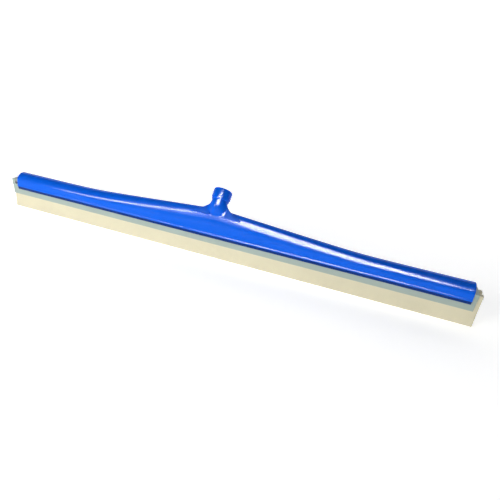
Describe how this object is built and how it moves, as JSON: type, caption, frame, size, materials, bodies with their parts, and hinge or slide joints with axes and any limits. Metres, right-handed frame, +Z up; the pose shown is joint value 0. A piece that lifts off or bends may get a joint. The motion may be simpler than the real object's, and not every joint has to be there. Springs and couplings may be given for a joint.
{
  "type": "floor squeegee head",
  "caption": "Long moulded floor squeegee head with a leaning screw socket and a slide-out cassette of foam rubber blades.",
  "frame": {"origin": "on the floor under the blade tips, midway along the head and midway across its whole depth, socket included", "axes": "+X along the blades, -Y to the front, +Z up from the blade tips to the socket"},
  "size_m": [0.75, 0.042, 0.108],
  "materials": {
    "blue_plastic": "glossy blue moulded polypropylene",
    "white_plastic": "satin white extruded plastic",
    "foam_rubber": "cream cellular foam rubber, fine open skin",
    "pin_plastic": "dark satin plastic"
  },
  "bodies": {
    "body": {"squeegee_body": "blue_plastic"},
    "cassette": {"cassette_rail": "white_plastic", "blade_divider": "white_plastic", "front_foam_blade": "foam_rubber", "rear_foam_blade": "foam_rubber", "stop_pin": "pin_plastic"}
  },
  "joints": [
    {"name": "cassette_slide", "type": "slide", "parent": "body", "child": "cassette", "axis": [-1, 0, 0], "range_m": [0, 0.745]}
  ]
}
